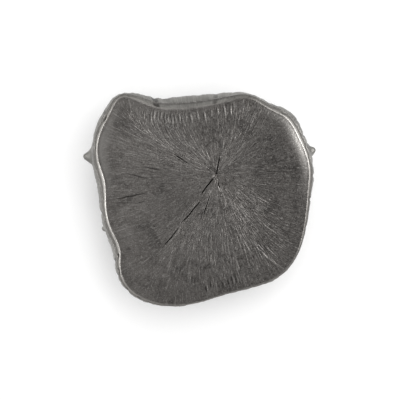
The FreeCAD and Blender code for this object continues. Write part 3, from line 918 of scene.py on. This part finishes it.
# %% Node group: grain lines
GRAIN_LINES, given, result = new_group(
    "grain_lines", {"Grain": None, "Across": 500.0, "Along": 30.0}, ["Line"])
pieces = add(GRAIN_LINES, "SeparateXYZ", Vector=given["Grain"]).outputs
stretched = add(GRAIN_LINES, "CombineXYZ", X=sums(GRAIN_LINES, "MULTIPLY", pieces["X"], given["Across"]),
                Y=sums(GRAIN_LINES, "MULTIPLY", pieces["Y"], given["Across"]),
                Z=sums(GRAIN_LINES, "MULTIPLY", pieces["Z"], given["Along"])).outputs["Vector"]
threads = add(GRAIN_LINES, "TexNoise", Vector=stretched, Scale=1.0, Detail=2.0,
              Roughness=0.6).outputs["Fac"]
GRAIN_LINES.links.new(ranged(GRAIN_LINES, threads, 0.3, 0.7), result["Line"])


# %% A finish's first nodes
def start_finish(name):
    material = bpy.data.materials.new(name)
    material.use_nodes = True
    tree = material.node_tree
    place = tree.nodes.new("ShaderNodeTexCoord").outputs["Object"]
    return material, tree, tree.nodes["Principled BSDF"], place


def attribute(tree, name, vector=False):
    node = tree.nodes.new("ShaderNodeAttribute")
    node.attribute_name = name
    return node.outputs["Vector" if vector else "Fac"]


def bumped(tree, shader, height, distance):
    bump = add(tree, "Bump", Height=height, Distance=distance)
    tree.links.new(bump.outputs["Normal"], shader.inputs["Normal"])


# %% [markdown]
# ## The face's finish
# The face was darkened and then rubbed back. Rubbing brightens the tops of the ridges and the
# rim, and leaves the dark in the splits and hollows. A pale colour on the rim at the left and the
# upper right, and near it on the face at the upper left and upper right, paints highlights.

# %% Colours of the log's side, for both castings
def side_colour(tree, cloud, line, furrow):
    plain = blended(tree, cloud, colour(0.17, 0.166, 0.157), colour(0.29, 0.282, 0.266))
    lined = blended(tree, sums(tree, "MULTIPLY", line, 0.4), plain, colour(0.42, 0.41, 0.39))
    return blended(tree, ranged(tree, furrow, 0.0, 0.35, 0.0, 0.75), lined, colour(0.06, 0.057, 0.054))


# %% Face
face_finish, tree, shader, place = start_finish("dark_pewter_face")
grain = attribute(tree, "grain", vector=True)
ridge_tops, gaps, worn_and_highlit = attribute(tree, "ridge"), attribute(tree, "gap"), attribute(tree, "wear_and_highlight")
cloud = use_group(tree, CLOUDS, Vector=place, Broad=16.0, Fine=130.0)["Cloud"]
off_pith = add(tree, "VectorMath")
off_pith.operation = "DISTANCE"
tree.links.new(place, off_pith.inputs[0])
off_pith.inputs[1].default_value = (*PITH, TOP)
clear = ranged(tree, off_pith.outputs["Value"], 0.02, 0.09)
fibres = use_group(tree, GRAIN_LINES, Grain=grain, Across=330.0, Along=45.0)["Line"]
line = sums(tree, "MULTIPLY", clear, fibres)
skin = use_group(tree, CASTING_SKIN, Vector=place, Scale=420.0)
sideways = add(tree, "SeparateXYZ", Vector=place).outputs["X"]
paler_left = ranged(tree, sideways, -0.2, 0.12, 0.9, -0.05)
mottle = add(tree, "TexNoise", Vector=place, Scale=170.0, Detail=5.0, Roughness=0.75).outputs["Fac"]
patches = sums(tree, "ADD", sums(tree, "ADD", cloud, paler_left),
               ranged(tree, mottle, 0.3, 0.7, -0.9, 0.9))
darkened = blended(tree, patches, colour(0.068, 0.062, 0.057), colour(0.185, 0.172, 0.160))
lined = blended(tree, sums(tree, "MULTIPLY", line, 0.13), darkened, colour(0.30, 0.285, 0.27))
flecks = ranged(tree, skin["Height"], 0.42, 0.62)
flecked = blended(tree, sums(tree, "MULTIPLY", flecks, 0.38), lined, colour(0.40, 0.385, 0.37))
pitted = blended(tree, sums(tree, "MULTIPLY", skin["Pits"], 0.45), flecked, colour(0.06, 0.056, 0.053))
speckle = add(tree, "TexNoise", Vector=place, Scale=380.0, Detail=2.0, Roughness=0.6).outputs["Fac"]
broken = sums(tree, "MULTIPLY", ridge_tops, ranged(tree, speckle, 0.42, 0.58, 0.15, 0.95))
stains = add(tree, "TexNoise", Vector=place, Scale=24.0, Detail=8.0, Roughness=0.7,
             Distortion=0.5).outputs["Fac"]
stained = blended(tree, ranged(tree, stains, 0.36, 0.48, 0.5, 0.0), pitted, colour(0.045, 0.042, 0.04))
smears = sums(tree, "MULTIPLY", ranged(tree, stains, 0.54, 0.68, 0.0, 0.5),
              ranged(tree, sideways, -0.2, 0.02, 1.0, 0.45))
smeared = blended(tree, smears, stained, colour(0.34, 0.325, 0.31))
spots = add(tree, "TexNoise", Vector=place, Scale=250.0, Detail=1.0).outputs["Fac"]
spotted = blended(tree, ranged(tree, spots, 0.63, 0.71, 0.0, 0.6), smeared, colour(0.45, 0.43, 0.41))
topped = blended(tree, broken, spotted, colour(0.50, 0.48, 0.46))
outwards = sums(tree, "MULTIPLY", ranged(tree, off_pith.outputs["Value"], 0.04, 0.09, 0.0, 0.22),
                ranged(tree, sideways, -0.14, -0.03, 0.0, 1.0))
dimmed = blended(tree, outwards, topped, colour(0.03, 0.028, 0.027))
deep = blended(tree, gaps, dimmed, colour(0.035, 0.032, 0.03))
side = side_colour(tree, cloud, line, attribute(tree, "furrow"))
deep = blended(tree, attribute(tree, "side"), deep, side)
# Painted highlight: the wear values turn the metal pale and smoother, for rub wear round the rim and more
# at the left and the upper right, where the soft boxes' highlights fall.
burnish_and_highlight = sums(tree, "MULTIPLY", worn_and_highlit, ranged(tree, cloud, 0.0, 0.7, 0.65, 1.0))
burnish_and_highlighted = blended(tree, burnish_and_highlight, deep, colour(0.62, 0.60, 0.57))
tree.links.new(burnish_and_highlighted, shader.inputs["Base Color"])
shader.inputs["Metallic"].default_value = 1.0
dull = sums(tree, "SUBTRACT", ranged(tree, cloud, 0, 1, 0.52, 0.40),
            sums(tree, "MULTIPLY", burnish_and_highlight, 0.16))
tree.links.new(dull, shader.inputs["Roughness"])
shader.inputs["Specular Tint"].default_value = colour(0.35, 0.34, 0.33)
rough = sums(tree, "ADD", sums(tree, "MULTIPLY", line, 0.45),
             sums(tree, "MULTIPLY", skin["Height"], 0.55))
bumped(tree, shader, rough, 0.5 * MM)
top_piece.data.materials.append(face_finish)

# %% [markdown]
# The trunk was left as it came from the sand, apart from a brushing. The brush misses the
# furrows, so they stay dark.

# %% Trunk
bark_finish, tree, shader, place = start_finish("cast_bark_skin")
grain = attribute(tree, "grain", vector=True)
deepness = attribute(tree, "furrow")
cloud = use_group(tree, CLOUDS, Vector=place, Broad=9.0, Fine=60.0)["Cloud"]
line = use_group(tree, GRAIN_LINES, Grain=grain, Across=420.0, Along=22.0)["Line"]
skin = use_group(tree, CASTING_SKIN, Vector=place, Scale=420.0)
sunk = side_colour(tree, cloud, line, deepness)
tree.links.new(sunk, shader.inputs["Base Color"])
shader.inputs["Metallic"].default_value = 1.0
tree.links.new(ranged(tree, cloud, 0, 1, 0.56, 0.42), shader.inputs["Roughness"])
rough = sums(tree, "ADD", sums(tree, "MULTIPLY", line, 0.8), sums(tree, "MULTIPLY", skin["Height"], 0.4))
bumped(tree, shader, rough, 0.7 * MM)
trunk_piece.data.materials.append(bark_finish)


# %% [markdown]
# The hardware is bought in. Its screws and studs are zinc plated, the base plate is painted, and
# the feet are moulded in nylon with rubber under them.

# %% Small parts
def cloudy_finish(name, dark, light, roughness, metallic, broad=40.0, fine=300.0, bump=0.1):
    """A finish of two colours in cloudy patches, with a fine texture."""
    material, tree, shader, place = start_finish(name)
    cloud = use_group(tree, CLOUDS, Vector=place, Broad=broad, Fine=fine)["Cloud"]
    skin = use_group(tree, CASTING_SKIN, Vector=place, Scale=900.0)
    tree.links.new(blended(tree, cloud, colour(*dark), colour(*light)), shader.inputs["Base Color"])
    tree.links.new(ranged(tree, cloud, 0, 1, roughness[0], roughness[1]), shader.inputs["Roughness"])
    shader.inputs["Metallic"].default_value = metallic
    bumped(tree, shader, skin["Height"], bump * MM)
    return material


zinc = cloudy_finish("zinc_plating", (0.46, 0.46, 0.45), (0.68, 0.68, 0.66), (0.42, 0.28), 1.0)
paint = cloudy_finish("black_plate_paint", (0.016, 0.016, 0.017), (0.03, 0.03, 0.031),
                      (0.6, 0.45), 0.0, bump=0.15)
nylon = cloudy_finish("nylon_pad", (0.02, 0.02, 0.021), (0.035, 0.035, 0.036),
                      (0.55, 0.42), 0.0, bump=0.06)
rubber = cloudy_finish("rubber_sole", (0.012, 0.012, 0.012), (0.028, 0.027, 0.026),
                       (0.85, 0.7), 0.0, bump=0.2)
FINISHES = {"gasket_rubber": rubber, "zinc_steel": zinc, "plate_paint": paint, "pad_nylon": nylon,
            "sole_rubber": rubber, "cast_face": face_finish, "cast_bark": bark_finish}
FINISH_OF = {"top_casting": "cast_face", "trunk_casting": "cast_bark", "top_gasket": "gasket_rubber",
             "base_plate": "plate_paint"}
for name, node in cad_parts.items():
    kind = ("pad_nylon" if "pad" in name else "sole_rubber" if "sole" in name
            else FINISH_OF.get(name, "zinc_steel"))
    node.data.materials.clear()
    node.data.materials.append(FINISHES[kind])

# %% [markdown]
# The two soft boxes would burn the paper out, so they reach only the table.

# %% The boxes light the table only
table_pieces = [top_piece, trunk_piece, *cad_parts.values()]
for box in (right_box, left_box):
    only_for(box, table_pieces)
